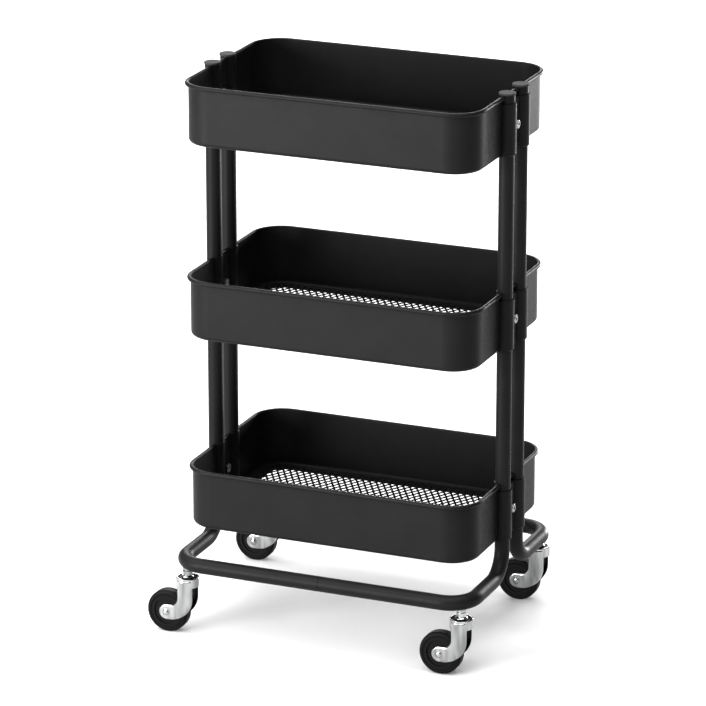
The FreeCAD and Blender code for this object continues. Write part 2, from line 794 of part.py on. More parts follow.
def make_axle(castor, x, y):
    """Rivet with a domed head outside each arm."""
    shank_r, head_r, rise = dim.axle_diameter / 2, dim.axle_head_diameter / 2, dim.axle_head_height
    seat = dim.arm_outer_y
    dome_r = (head_r * head_r + rise * rise) / (rise * 2)
    lay_on_axle(turned_body(f"{castor}_axle", [
        (ZERO, -seat - rise),
        (head_r, -seat, dome_r, 1),
        (shank_r, -seat),
        (shank_r, seat),
        (head_r, seat),
        (ZERO, seat + rise, dome_r, 1),
    ]), x, y)


def make_wheel_hub(castor, x, y):
    """Moulded core: a boss on the axle, a recessed web and a rim inside the tyre."""
    bore, boss_r = dim.axle_diameter / 2 + dim.bearing_fit, dim.hub_boss_diameter / 2
    rim_r = dim.tyre_inner_r - dim.press_gap
    web_r = rim_r - dim.hub_rim_width
    boss_y = dim.wheel_width / 2 + dim.arm_gap - dim.hub_play
    rim_y = dim.wheel_width / 2
    web_y = rim_y - dim.hub_recess
    one_side = [
        (bore, boss_y),
        (boss_r, boss_y),
        (boss_r, web_y),
        (web_r, web_y),
        (web_r, rim_y),
        (rim_r, rim_y),
    ]
    other_side = [(radius, -height) for radius, height in reversed(one_side)]
    lay_on_axle(turned_body(f"{castor}_wheel_hub", one_side + other_side), x, y)


def make_tyre(castor, x, y):
    """Tyre with round shoulders and a ring groove in each side."""
    tread_r, shoulder, edge_y = dim.wheel_r, dim.tyre_shoulder_radius, dim.wheel_width / 2
    inner_r, depth = dim.tyre_inner_r, dim.tyre_groove_depth
    groove_r = inner_r + dim.tyre_side / 2
    lay_on_axle(turned_body(f"{castor}_tyre", [
        (inner_r, edge_y),
        (inner_r, -edge_y),
        (groove_r - depth, -edge_y),
        (groove_r, depth - edge_y),
        (groove_r + depth, -edge_y),
        (tread_r - shoulder, -edge_y),
        (tread_r, shoulder - edge_y, shoulder, 1),
        (tread_r, edge_y - shoulder),
        (tread_r - shoulder, edge_y, shoulder, 1),
        (groove_r + depth, edge_y),
        (groove_r, edge_y - depth),
        (groove_r - depth, edge_y),
    ]), x, y)


def make_castor(castor, x, y):
    make_stem(castor, x, y)
    make_cone_nut(castor, x, y)
    make_swivel_balls(castor, x, y)
    make_fork(castor, x, y)
    make_axle(castor, x, y)
    make_wheel_hub(castor, x, y)
    make_tyre(castor, x, y)


def make_trolley():
    for end in ENDS:
        for side in SIDES:
            make_base_tube(end, side)
    lower_joint = dim.tray_z + dim.joint_rise
    upper_joint = lower_joint + dim.tray_pitch
    for end, y_direction in ENDS.items():
        for side, x_direction in SIDES.items():
            x, y = dim.post_x * x_direction, dim.post_y * y_direction
            make_straight_tube(f"{end}_{side}_middle_tube", x, y, lower_joint, upper_joint)
            make_straight_tube(f"{end}_{side}_upper_tube", x, y, upper_joint, dim.cap_z)
            make_end_cap(f"{end}_{side}_end_cap", x, y)
    panel = mesh_panel()
    for number, tier in enumerate(TIERS):
        underside = dim.tray_z + dim.tray_pitch * number
        make_tray(tier, underside)
        make_mesh_floor(tier, panel, underside)
        for side, direction in SIDES.items():
            make_bracket(f"{tier}_{side}_bracket", direction, underside)
    make_fasteners()
    make_castor_inserts()
    for end, y_direction in ENDS.items():
        for side, x_direction in SIDES.items():
            make_castor(f"{end}_{side}_castor", dim.castor_x * x_direction, dim.castor_y * y_direction)


def check_model():
    """Stops on a failed object, an empty or invalid shape, or a cut that takes nothing away."""
    for item in doc.Objects:
        if {"Invalid", "Error"} & set(item.State):
            raise RuntimeError(f"{item.Label} failed: {item.State}")
        if item.TypeId == "PartDesign::Pocket" and item.Shape.Volume >= item.BaseFeature.Shape.Volume:
            raise RuntimeError(f"{item.Label} cuts nothing")
    for node in nodes:
        if node.Shape.isNull() or not node.Shape.isValid():
            raise RuntimeError(f"{node.Label} has no valid shape")


make_trolley()
doc.recompute()
check_model()
os.makedirs("parts", exist_ok=True)
for node in nodes:
    node.Shape.exportStep(f"parts/{node.Label}.step")
print(len(nodes), "nodes written")
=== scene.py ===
"""Looks of a tiered steel utility trolley: finishes, expanded-metal floors, castors and studio."""

import json
import math
from typing import NamedTuple

import bmesh
import bpy
from bpy.props import FloatProperty, FloatVectorProperty, IntProperty, PointerProperty
from mathutils import Matrix, Vector
from mathutils.geometry import delaunay_2d_cdt


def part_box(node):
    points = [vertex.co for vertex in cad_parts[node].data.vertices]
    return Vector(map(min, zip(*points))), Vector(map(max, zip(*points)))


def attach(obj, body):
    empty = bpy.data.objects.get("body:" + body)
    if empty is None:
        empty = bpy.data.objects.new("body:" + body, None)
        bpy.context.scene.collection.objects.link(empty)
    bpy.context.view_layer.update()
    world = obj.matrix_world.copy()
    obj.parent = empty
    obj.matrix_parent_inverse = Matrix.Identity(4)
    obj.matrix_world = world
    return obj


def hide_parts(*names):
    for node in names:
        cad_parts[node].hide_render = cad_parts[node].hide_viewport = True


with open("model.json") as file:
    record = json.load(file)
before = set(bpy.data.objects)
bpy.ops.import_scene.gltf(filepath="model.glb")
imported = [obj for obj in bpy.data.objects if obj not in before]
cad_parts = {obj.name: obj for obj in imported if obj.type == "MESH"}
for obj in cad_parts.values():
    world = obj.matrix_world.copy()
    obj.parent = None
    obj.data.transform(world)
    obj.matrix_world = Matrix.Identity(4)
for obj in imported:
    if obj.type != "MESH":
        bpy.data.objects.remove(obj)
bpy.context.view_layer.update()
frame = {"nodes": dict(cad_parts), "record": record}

bl_info = {
    "name": "Utility trolley looks",
    "version": (1, 0, 0),
    "blender": (4, 5, 0),
    "location": "View3D > Sidebar > Trolley",
    "description": "Dresses the packed utility trolley with its finishes, mesh floors, castors and studio",
    "category": "Object",
}

MM = 0.001
TIERS = ("bottom", "middle", "top")
CORNERS = [f"{end}_{side}" for end in ("front", "rear") for side in ("left", "right")]

# Most of a noise texture's values lie between these two.
NOISE_LOW = 0.3
NOISE_HIGH = 0.7

# Expanded metal: the least cut hole as a share of a strand's width squared, and how it is triangulated.
LEAST_HOLE_SHARE = 0.25
SAME_POINT_DIGITS = 7
SAME_POINT = 1e-7
FILL_INSIDE = 1

# Turned and bevelled pieces.
MERGE_REACH = 1e-6
BEVEL_ABOVE = math.radians(28)
BEVEL_SEGMENTS = 2
BEVEL_PROFILE = 0.6
CRISP_ANGLE = math.radians(34)
SOFT_ANGLE = math.radians(50)
SMALL_TURN_STEPS = 40
CUP_TURN_STEPS = 56

# Castor collars, as shares of their height or radius.
HEXAGON_SIDES = 6
HEXAGON_TURN_SHARE = 0.2
FLANGE_EDGE_SHARE = 0.2
FLANGE_TOP_SHARE = 0.3
FLANGE_TAPER_SHARE = 0.86
HEXAGON_LOW_SHARE = 0.42
HEXAGON_HIGH_SHARE = 0.76
CROWN_LOW_SHARE = 0.84
CROWN_SWELL_SHARE = 1.12
COLLAR_EDGE = 0.25 * MM

# Axle rivets: the dome as (share of its radius, drop), then the groove and the pressed ring round it.
AXLE_HEAD_RISE = 2.0 * MM
DOME = ((0.0, 0.0), (0.45, 0.12 * MM), (0.8, 0.6 * MM), (1.0, 1.35 * MM))
GROOVE_RISE = 0.1 * MM
GROOVE_WIDTH = 0.5 * MM
RING_START = 0.7 * MM
RING_RISE = 0.6 * MM
RING_EDGE = 0.3 * MM
RING_EDGE_RISE = 0.2 * MM

# Pressed forks: rows along an arm, places across it as shares of its half width, and edges.
CUP_JOINT_STEPS = 6
STRAIGHT_STEPS = 6
BEND_STEPS = 18
REACH_STEPS = 3
TIP_STEPS = 12
TIP_TURN = math.radians(89)
EDGE_SHARES = (1.0, 0.985, 0.96, 0.925, 0.88, 0.83, 0.77, 0.6, 0.4, 0.2)
THINNEST_EDGE = 0.15 * MM
CUP_RIM_EDGE = 0.8 * MM
CUP_RIM_STEPS = 4
# A dark ring in the cup round the collar, not known to be a dust seal: its plays and its rise.
DARK_CUP_RING_INNER_PLAY = 0.4 * MM
DARK_CUP_RING_OUTER_PLAY = 0.1 * MM
DARK_CUP_RING_RISE = 0.9 * MM


class Softbox(NamedTuple):
    """A square area light that faces the trolley."""

    name: str
    place: tuple
    size: float
    power: float


SOFTBOXES = (
    Softbox("key_softbox", (-2.0, -3.2, 0.85), 1.6, 300.0),
    Softbox("rear_softbox", (1.0, 4.4, 0.6), 1.0, 260.0),
    Softbox("rim_softbox", (-1.7, 4.1, 1.7), 1.6, 90.0),
)

# Middle of the trolley for the softboxes, the skylight, and surroundings that grow brighter to one side.
LIT_MIDDLE = Vector((0.0, 0.0, 0.4))
SKYLIGHT_STRENGTH = 7.0
SKYLIGHT_SPREAD = math.radians(80.0)
SKYLIGHT_TILT = (math.radians(8.0), math.radians(-10.0), 0.0)
BRIGHT_SIDE = Vector((-0.72, -0.60, 0.35))
AWAY_FROM_BRIGHT = -0.6
TOWARDS_BRIGHT = 0.9
DIM_LEVEL = 0.06
BRIGHT_LEVEL = 0.32

# Floor and camera.
FLOOR_GREY = 0.58
FLOOR_SEGMENTS = 24
SENSOR_WIDTH = 36.0
VIEW_DEPTH = 200.0


def middle_of(node):
    """The middle of a CAD node's box."""
    low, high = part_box(node)
    return (Vector(low) + Vector(high)) / 2


class FinishColours(bpy.types.PropertyGroup):
    """Colours of the trolley's finishes."""

    coat: FloatVectorProperty(
        name="Powder coat", description="Matte black paint on the trays, tubes and brackets",
        subtype="COLOR", size=3, min=0.0, max=1.0, default=(0.0066, 0.0066, 0.0069))
    cap: FloatVectorProperty(
        name="End caps", description="Moulded plastic of the tubes' end caps",
        subtype="COLOR", size=3, min=0.0, max=1.0, default=(0.030, 0.030, 0.0305))
    chrome: FloatVectorProperty(
        name="Chrome", description="Bright plate on the castor forks, rivets and cone nuts",
        subtype="COLOR", size=3, min=0.0, max=1.0, default=(0.34, 0.343, 0.343))
    zinc: FloatVectorProperty(
        name="Zinc plate", description="Bolts, nuts, castor stems and balls",
        subtype="COLOR", size=3, min=0.0, max=1.0, default=(0.22, 0.222, 0.225))
    hub: FloatVectorProperty(
        name="Wheel hubs", description="Moulded plastic of the wheels' centres",
        subtype="COLOR", size=3, min=0.0, max=1.0, default=(0.0034, 0.0034, 0.0036))
    tyre: FloatVectorProperty(
        name="Tyres", description="Hard black tread of the wheels",
        subtype="COLOR", size=3, min=0.0, max=1.0, default=(0.0028, 0.0028, 0.0030))


class MeshFloorSizes(bpy.types.PropertyGroup):
    """Sizes of the expanded metal in the trays' floors."""

    pitch_along: FloatProperty(
        name="Pitch along", description="Short diagonal of a diamond, along the tray",
        unit="LENGTH", min=0.004, max=0.05, default=10.2 * MM)
    pitch_across: FloatProperty(
        name="Pitch across", description="Long diagonal of a diamond, across the tray",
        unit="LENGTH", min=0.006, max=0.08, default=18.0 * MM)
    strand: FloatProperty(
        name="Strand", description="Width of a strand between two diamonds",
        unit="LENGTH", min=0.0005, max=0.006, default=2.7 * MM)
    gauge: FloatProperty(
        name="Gauge", description="Thickness of a strand",
        unit="LENGTH", min=0.0003, max=0.003, default=0.9 * MM)
    tilt: FloatProperty(
        name="Tilt", description="How far a strand's edges stand above and below its middle",
        unit="LENGTH", min=0.0, max=0.001, default=0.15 * MM)
    tip: FloatProperty(
        name="Blunt tip", description="Half the width of a diamond's blunt ends",
        unit="LENGTH", min=0.0, max=0.003, default=0.7 * MM)
    border: FloatProperty(
        name="Border", description="Width of the plain strip round the panel",
        unit="LENGTH", min=0.0, max=0.01, default=3.0 * MM)
    corner: FloatProperty(
        name="Corner", description="Radius of the panel's corners",
        unit="LENGTH", min=0.0, max=0.1, default=30.5 * MM)
    corner_steps: IntProperty(
        name="Corner steps", description="Straight pieces in one rounded corner", min=2, max=64, default=14)


class CastorSizes(bpy.types.PropertyGroup):
    """Sizes of the castors' forks, collars and rivets."""

    flange: FloatProperty(
        name="Flange", description="Radius of the stem collar's flange", unit="LENGTH",
        min=0.004, max=0.02, default=8.6 * MM)
    collar: FloatProperty(
        name="Collar nut", description="Radius over the corners of the collar's hexagon", unit="LENGTH",
        min=0.004, max=0.02, default=7.0 * MM)
    waist: FloatProperty(
        name="Waist", description="Radius of the collar between its flange and its hexagon", unit="LENGTH",
        min=0.004, max=0.02, default=5.4 * MM)
    bore: FloatProperty(
        name="Collar bore", description="Radius of the hole for the stem", unit="LENGTH",
        min=0.002, max=0.02, default=4.1 * MM)
    rivet: FloatProperty(
        name="Rivet head", description="Radius of the axle rivet's dome", unit="LENGTH",
        min=0.002, max=0.01, default=4.0 * MM)
    washer: FloatProperty(
        name="Rivet washer", description="Radius of the pressed ring round the rivet", unit="LENGTH",
        min=0.003, max=0.012, default=5.7 * MM)
    shank: FloatProperty(
        name="Rivet shank", description="Radius of the axle between the arms", unit="LENGTH",
        min=0.001, max=0.01, default=3.0 * MM)
    gauge: FloatProperty(
        name="Fork gauge", description="Thickness of the pressed fork", unit="LENGTH",
        min=0.0005, max=0.006, default=2.2 * MM)
    skirt: FloatProperty(
        name="Fork skirt", description="Height of the fork's cup over its skirt", unit="LENGTH",
        min=0.004, max=0.03, default=13.0 * MM)
    lip: FloatProperty(
        name="Fork lip", description="Height of the cup's rim above its plate", unit="LENGTH",
        min=0.0, max=0.01, default=2.0 * MM)
    arm: FloatProperty(
        name="Arm width", description="Width of a hooked arm of the fork", unit="LENGTH",
        min=0.008, max=0.04, default=22.2 * MM)
    bend: FloatProperty(
        name="Arm bend", description="Inner radius of the hooked arm", unit="LENGTH",
        min=0.002, max=0.04, default=12.1 * MM)
    fold: FloatProperty(
        name="Folded edge", description="Radius of the arm's folded edges", unit="LENGTH",
        min=0.0005, max=0.004, default=2.4 * MM)
    proud: FloatProperty(
        name="Proud", description="How far the arms stand proud of the cup", unit="LENGTH",
        min=0.0, max=0.002, default=0.9 * MM)
    clearance: FloatProperty(
        name="Clearance", description="Least reach of the arm's inner side from the wheel's middle",
        unit="LENGTH", min=0.005, max=0.03, default=9.45 * MM)


class StudioSettings(bpy.types.PropertyGroup):
    """Camera and floor of the studio."""

    azimuth: FloatProperty(
        name="Azimuth", description="Side from which the camera looks", subtype="ANGLE",
        default=math.radians(22.6))
    elevation: FloatProperty(
        name="Elevation", description="Height angle of the camera", subtype="ANGLE",
        default=math.radians(18.189))
    place: FloatVectorProperty(
        name="Camera place", description="Where the camera stands", subtype="TRANSLATION", size=3,
        default=(2.16798, -5.20887, 2.23688))
    lens: FloatProperty(
        name="Lens", description="Focal length in millimetres on a 36 mm sensor", min=20.0, max=600.0,
        default=221.82)
    floor_reach: FloatProperty(
        name="Floor", description="Half the side of the floor", unit="LENGTH",
        min=2.0, max=60.0, default=30.0)


class TrolleySettings(bpy.types.PropertyGroup):
    """All settings of the trolley's looks."""

    colours: PointerProperty(type=FinishColours)
    mesh_floor: PointerProperty(type=MeshFloorSizes)
    castor: PointerProperty(type=CastorSizes)
    studio: PointerProperty(type=StudioSettings)


def settings():
    """The settings that the scene holds."""
    return bpy.context.scene.trolley


class Finish:
    """A material under construction: its shader, nodes and links."""

    def __init__(self, name):
        self.material = bpy.data.materials.new(f"{name}_finish")
        self.material.use_nodes = True
        self.nodes = self.material.node_tree.nodes
        self.links = self.material.node_tree.links
        self.shader = self.nodes["Principled BSDF"]
        self.place = self.nodes.new("ShaderNodeTexCoord").outputs["Object"]

    def noise(self, size, detail=2.0, stretch=(1.0, 1.0, 1.0)):
        """Noise whose features are about the given size in metres."""
        scaling = self.nodes.new("ShaderNodeMapping")
        scaling.inputs["Scale"].default_value = stretch
        self.links.new(self.place, scaling.inputs["Vector"])
        noise = self.nodes.new("ShaderNodeTexNoise")
        noise.inputs["Scale"].default_value = 1.0 / size
        noise.inputs["Detail"].default_value = detail
        self.links.new(scaling.outputs["Vector"], noise.inputs["Vector"])
        return noise.outputs["Fac"]

    def tint(self, source, colour, spread):
        """Base colour that varies by a share either way."""
        ramp = self.nodes.new("ShaderNodeValToRGB")
        ramp.color_ramp.elements[0].position = NOISE_LOW
        ramp.color_ramp.elements[1].position = NOISE_HIGH
        ramp.color_ramp.elements[0].color = (*[value * (1 - spread) for value in colour], 1)
        ramp.color_ramp.elements[1].color = (*[min(1.0, value * (1 + spread)) for value in colour], 1)
        self.links.new(source, ramp.inputs["Fac"])
        self.links.new(ramp.outputs["Color"], self.shader.inputs["Base Color"])

    def roughen(self, source, low, high):
        """Roughness that varies between two values."""
        spread = self.nodes.new("ShaderNodeMapRange")
        spread.inputs["From Min"].default_value = NOISE_LOW
        spread.inputs["From Max"].default_value = NOISE_HIGH
        spread.inputs["To Min"].default_value = low
        spread.inputs["To Max"].default_value = high
        self.links.new(source, spread.inputs["Value"])
        self.links.new(spread.outputs["Result"], self.shader.inputs["Roughness"])

    def shine(self, specular):
        """Strength of the reflection on paint, plastic or rubber."""
        self.shader.inputs["Specular IOR Level"].default_value = specular

    def plate(self):
        """Turns the finish into bare metal."""
        self.shader.inputs["Metallic"].default_value = 1.0

    def emboss(self, source, height, strength=1.0, below=None):
        """Bump of a real height in metres, on top of another bump if one is given."""
        bump = self.nodes.new("ShaderNodeBump")
        bump.inputs["Strength"].default_value = strength
        bump.inputs["Distance"].default_value = height
        self.links.new(source, bump.inputs["Height"])
        if below is not None:
            self.links.new(below, bump.inputs["Normal"])
        self.links.new(bump.outputs["Normal"], self.shader.inputs["Normal"])
        return bump.outputs["Normal"]


def powder_coat():
    """Matte black powder coat: fine grain over a faint orange peel."""
    finish = Finish("powder_coat")
    finish.shine(specular=0.062)
    finish.tint(finish.noise(size=0.05, detail=3.0), settings().colours.coat, spread=0.10)
    finish.roughen(finish.noise(size=0.004, detail=4.0), low=0.40, high=0.52)
    peel = finish.emboss(finish.noise(size=0.0028), height=0.00005)
    finish.emboss(finish.noise(size=0.0006), height=0.00002, strength=0.6, below=peel)
    return finish.material


def cap_plastic():
    """Moulded plastic with a fine eroded texture."""
    finish = Finish("cap_plastic")
    finish.shine(specular=0.035)
    finish.tint(finish.noise(size=0.004, detail=3.0), settings().colours.cap, spread=0.10)
    finish.roughen(finish.noise(size=0.0012, detail=3.0), low=0.58, high=0.72)
    finish.emboss(finish.noise(size=0.0007, detail=3.0), height=0.00003)
    return finish.material


def castor_chrome():
    """Bright plate with faint streaks in its colour, partly polishing marks and partly painted reflection
    bands.
    """
    finish = Finish("castor_chrome")
    finish.plate()
    # Tall light and dark streaks in the plate's colour: partly polishing marks, partly painted reflection
    # bands.
    polish_streaks_and_painted_reflections = finish.noise(size=0.008, detail=1.0, stretch=(1.0, 1.0, 0.15))
    finish.tint(polish_streaks_and_painted_reflections, settings().colours.chrome, spread=0.36)
    finish.roughen(finish.noise(size=0.0015, detail=3.0, stretch=(1.0, 1.0, 0.12)), low=0.14, high=0.24)
    finish.emboss(finish.noise(size=0.006), height=0.00005, strength=0.5)
    return finish.material


def plated_steel(name, low, high):
    """Zinc plate: soft metal with a slightly cloudy surface."""
    finish = Finish(name)
    finish.plate()
    finish.tint(finish.noise(size=0.003, detail=3.0), settings().colours.zinc, spread=0.10)
    finish.roughen(finish.noise(size=0.0008, detail=3.0), low, high)
    finish.emboss(finish.noise(size=0.0006), height=0.00002)
    return finish.material


def zinc_steel():
    """Zinc plate of the bolts and nuts."""
    return plated_steel("zinc_steel", low=0.26, high=0.40)


def bearing_steel():
    """Duller zinc plate of the castor stems, inserts and balls."""
    return plated_steel("bearing_steel", low=0.30, high=0.44)


def hub_plastic():
    """Moulded black plastic of the wheel centres and the dark rings in the castor cups."""
    finish = Finish("hub_plastic")
    finish.shine(specular=0.055)
    finish.tint(finish.noise(size=0.006, detail=3.0), settings().colours.hub, spread=0.12)
    finish.roughen(finish.noise(size=0.001, detail=3.0), low=0.38, high=0.50)
    finish.emboss(finish.noise(size=0.0008), height=0.00003)
    return finish.material


def tyre_rubber():
    """Hard satin tread with a fine grain."""
    finish = Finish("tyre_rubber")
    finish.shine(specular=0.05)
    finish.tint(finish.noise(size=0.005, detail=4.0), settings().colours.tyre, spread=0.18)
    finish.roughen(finish.noise(size=0.0015, detail=3.0), low=0.44, high=0.60)
    finish.emboss(finish.noise(size=0.0009, detail=3.0), height=0.00004)
    return finish.material


MAKERS = {
    "powder_coat": powder_coat,
    "cap_plastic": cap_plastic,
    "castor_chrome": castor_chrome,
    "zinc_steel": zinc_steel,
    "bearing_steel": bearing_steel,
    "hub_plastic": hub_plastic,
    "tyre_rubber": tyre_rubber,
}
FINISHES = {}


def finish_for(slot):
    """The material of a slot, made when it is first asked for."""
    if slot not in FINISHES:
        FINISHES[slot] = MAKERS[slot]()
    return FINISHES[slot]


def add_piece(name, mesh, body, slot, *nodes):
    """Adds a new visible piece that rides on a body and may stand for CAD nodes."""
    piece = bpy.data.objects.new(name, mesh)
    bpy.context.scene.collection.objects.link(piece)
    mesh.materials.append(finish_for(slot))
    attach(piece, body)
    if nodes:
        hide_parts(*nodes)


def rounded_outline(half_x, half_y, radius, steps):
    """Points of a rounded rectangle about the origin, anticlockwise."""
    points = []
    for quarter, (sign_x, sign_y) in enumerate(((1, 1), (-1, 1), (-1, -1), (1, -1))):
        for step in range(steps + 1):
            turn = math.radians(90 * (quarter + step / steps))
            points.append((sign_x * (half_x - radius) + radius * math.cos(turn),
                           sign_y * (half_y - radius) + radius * math.sin(turn)))
    return points


def side_of(point, start, stop):
    """Above zero where a point lies to the left of the line from start to stop, seen from above."""
    return (stop[0] - start[0]) * (point[1] - start[1]) - (stop[1] - start[1]) * (point[0] - start[0])


def clip_to_outline(polygon, outline):
    """The part of a polygon of 3-D points that lies over a convex outline."""
    for start, stop in zip(outline, outline[1:] + outline[:1]):
        clipped = []
        for here, there in zip(polygon, polygon[1:] + polygon[:1]):
            side_here = side_of(here, start, stop)
            side_there = side_of(there, start, stop)
            if side_here >= 0:
                clipped.append(here)
            if (side_here > 0 > side_there) or (side_here < 0 < side_there):
                share = side_here / (side_here - side_there)
                clipped.append(tuple(a + (b - a) * share for a, b in zip(here, there)))
        polygon = clipped
        if len(polygon) < 3:
            return []
    return polygon


def area_of(polygon):
    """The area that a polygon of 3-D points covers, seen from above."""
    return sum(here[0] * there[1] - there[0] * here[1]
               for here, there in zip(polygon, polygon[1:] + polygon[:1])) / 2


class PiercedSheet:
    """A thin sheet with convex holes, closed on both sides and round every edge."""

    def __init__(self, outline):
        self.loops = [outline]

    def pierce(self, hole):
        """Adds a hole, whose points run the other way round than the outline's."""
        unique = dict.fromkeys(tuple(round(value, SAME_POINT_DIGITS) for value in point) for point in hole)
        self.loops.append(list(unique)[::-1])

    def mesh(self, name, gauge):
        """The finished mesh of the given thickness."""
        points, owners, rims = [], [], []
        for number, loop in enumerate(self.loops):
            first, count = len(points), len(loop)
            points += loop
            owners += [number] * count
            rims += [(first + step, first + (step + 1) % count) for step in range(count)]
        flat = [Vector(point[:2]) for point in points]
        triangles, origins = delaunay_2d_cdt(flat, rims, [], FILL_INSIDE, SAME_POINT)[2:4]
        lower = len(points)
        faces = []
        for triangle in triangles:
            corners = [origins[corner][0] for corner in triangle]
            holes = {owners[corner] for corner in corners}
            if len(holes) > 1 or 0 in holes:
                faces.append(corners)
                faces.append([corner + lower for corner in reversed(corners)])
        faces += [(here + lower, there + lower, there, here) for here, there in rims]
        sides = [(x, y, z + level * gauge / 2) for level in (1, -1) for x, y, z in points]
        mesh = bpy.data.meshes.new(name)
        mesh.from_pydata(sides, [], faces)
        mesh.update()
        return mesh


def diamond_hole(sizes):
    """Points round one diamond hole of the mesh about its middle, anticlockwise."""
    long_x = sizes.pitch_along / 2
    long_y = sizes.pitch_across / 2
    reach = long_x * long_y / math.hypot(long_x, long_y)
    share = 1 - sizes.strand / 2 / reach
    hole_x = long_x * share
    tip_x = sizes.tip
    tip_y = long_y * share * (1 - tip_x / hole_x)
    upper = [(hole_x, 0.0), (tip_x, tip_y), (-tip_x, tip_y)]
    lower = [(-x, -y) for x, y in upper]
    return [(x, y, sizes.tilt * x / hole_x) for x, y in upper + lower]


def expanded_metal(name, half_x, half_y, sizes):
    """A panel of expanded metal with a plain border, about the origin."""
    outline = rounded_outline(half_x, half_y, sizes.corner, sizes.corner_steps)
    inner = rounded_outline(half_x - sizes.border, half_y - sizes.border, sizes.corner - sizes.border,
                            sizes.corner_steps)
    sheet = PiercedSheet([(x, y, 0.0) for x, y in outline])
    diamond = diamond_hole(sizes)
    columns = math.ceil(half_x / sizes.pitch_along)
    rows = math.ceil(half_y / sizes.pitch_across)
    for stagger in (0.0, 0.5):
        for column in range(-columns - 1, columns + 1):
            for row in range(-rows - 1, rows + 1):
                at_x = (column + stagger) * sizes.pitch_along
                at_y = (row + stagger) * sizes.pitch_across
                hole = clip_to_outline([(x + at_x, y + at_y, z) for x, y, z in diamond], inner)
                if area_of(hole) > LEAST_HOLE_SHARE * sizes.strand ** 2:
                    sheet.pierce(hole)
    return sheet.mesh(name, sizes.gauge)


def soften(shape, width):
    """Rounds the sharp edges of a shape under construction."""
    sharp = [edge for edge in shape.edges if edge.is_manifold and edge.calc_face_angle() > BEVEL_ABOVE]
    bmesh.ops.bevel(shape, geom=sharp, offset=width, segments=BEVEL_SEGMENTS, profile=BEVEL_PROFILE,
                    affect="EDGES", clamp_overlap=True)


def finished_mesh(name, shape, smooth_under=CRISP_ANGLE):
    """The mesh of a shape under construction, smooth but for its sharp edges."""
    bmesh.ops.recalc_face_normals(shape, faces=shape.faces)
    for face in shape.faces:
        face.smooth = True
    mesh = bpy.data.meshes.new(name)
    shape.to_mesh(mesh)
    shape.free()
    mesh.set_sharp_from_angle(angle=smooth_under)
    return mesh


def add_turned(shape, profile, steps):
    """Adds a ring or shaft that is turned about Z from (radius, height) points."""
    points = [shape.verts.new((radius, 0.0, height)) for radius, height in profile]
    edges = [shape.edges.new(pair) for pair in zip(points, points[1:])]
    bmesh.ops.spin(shape, geom=points + edges, cent=(0, 0, 0), axis=(0, 0, 1), angle=math.tau, steps=steps,
                   use_merge=True)
    bmesh.ops.remove_doubles(shape, verts=shape.verts, dist=MERGE_REACH)


def add_hexagon(shape, radius, bore, low, high):
    """Adds a hexagonal nut with a round bore about Z."""
    turns = [math.tau * (step + HEXAGON_TURN_SHARE) / HEXAGON_SIDES for step in range(HEXAGON_SIDES)]
    rings = []
    for reach, height in ((radius, low), (radius, high), (bore, high), (bore, low)):
        rings.append([shape.verts.new((reach * math.cos(turn), reach * math.sin(turn), height))
                      for turn in turns])
    for lower, upper in zip(rings, rings[1:] + rings[:1]):
        for step in range(HEXAGON_SIDES):
            follow = (step + 1) % HEXAGON_SIDES
            shape.faces.new((lower[step], lower[follow], upper[follow], upper[step]))


def axle_seat(corner):
    """How far from the wheel's middle the heads of a castor's axle sit on the arms."""
    low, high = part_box(f"{corner}_castor_axle")
    return (high[1] - low[1]) / 2 - AXLE_HEAD_RISE


def rounding(distance, radius):
    """How far a rounded edge has dropped at a distance from its border."""
    if distance >= radius:
        return 0.0
    return radius - math.sqrt(max(0.0, radius ** 2 - (radius - distance) ** 2))


class ArmRow(NamedTuple):
    """A row across a hooked arm.

    It has its middle (x, z), the direction across, half its width, how flat it is, how far it lies past the
    axle and how far it has sunk into the cup.
    """

    middle: tuple
    across: tuple
    half: float
    flatness: float = 0.0
    past: float = 0.0
    sunk: float = 0.0


def arm_rows(sizes, trail, axle_z, top):
    """Rows across a hooked arm, from the cup to the tip."""
    half = sizes.arm / 2
    turn = half + sizes.bend
    turn_z = axle_z + turn
    start = top - sizes.lip - sizes.fold
    level, upright = (1.0, 0.0), (0.0, -1.0)
    rows = []
    for step in range(CUP_JOINT_STEPS + 1):
        drop = sizes.fold * step / CUP_JOINT_STEPS
        rows.append(ArmRow((0.0, start + sizes.fold - drop), level, half, sunk=rounding(drop, sizes.fold)))
    for step in range(1, STRAIGHT_STEPS + 1):
        rows.append(ArmRow((0.0, start + (turn_z - start) * step / STRAIGHT_STEPS), level, half))
    for step in range(1, BEND_STEPS + 1):
        share = step / BEND_STEPS
        across = (math.cos(share * math.pi / 2), -math.sin(share * math.pi / 2))
        middle = (turn * across[0] - turn, turn_z + turn * across[1])
        rows.append(ArmRow(middle, across, half, flatness=share * share * (3 - 2 * share)))
    for step in range(1, REACH_STEPS + 1):
        x = -turn + (turn - trail) * step / REACH_STEPS
        rows.append(ArmRow((x, axle_z), upright, half, flatness=1.0))
    for step in range(1, TIP_STEPS + 1):
        turned = TIP_TURN * step / TIP_STEPS
        past = half * math.sin(turned)
        narrowed = half * math.cos(turned)
        rows.append(ArmRow((-trail - past, axle_z), upright, narrowed, flatness=1.0, past=past))
    return rows


def arm_skins(sizes, row, cup, flat, reach):
    """How far the outer and inner side of an arm stand from the wheel's middle, at a place across a row."""
    border = sizes.arm / 2 - math.hypot(reach, row.past)
    depth = (1 - row.flatness) * math.sqrt(cup ** 2 - reach ** 2) + row.flatness * flat
    depth -= row.sunk + rounding(border, sizes.fold)
    depth = max(depth, sizes.clearance + THINNEST_EDGE)
    return depth, max(depth - sizes.gauge, sizes.clearance)


def add_strip(shape, here, there):
    """Adds the faces between two lines of points."""
    for step in range(len(here) - 1):
        shape.faces.new((here[step], here[step + 1], there[step + 1], there[step]))


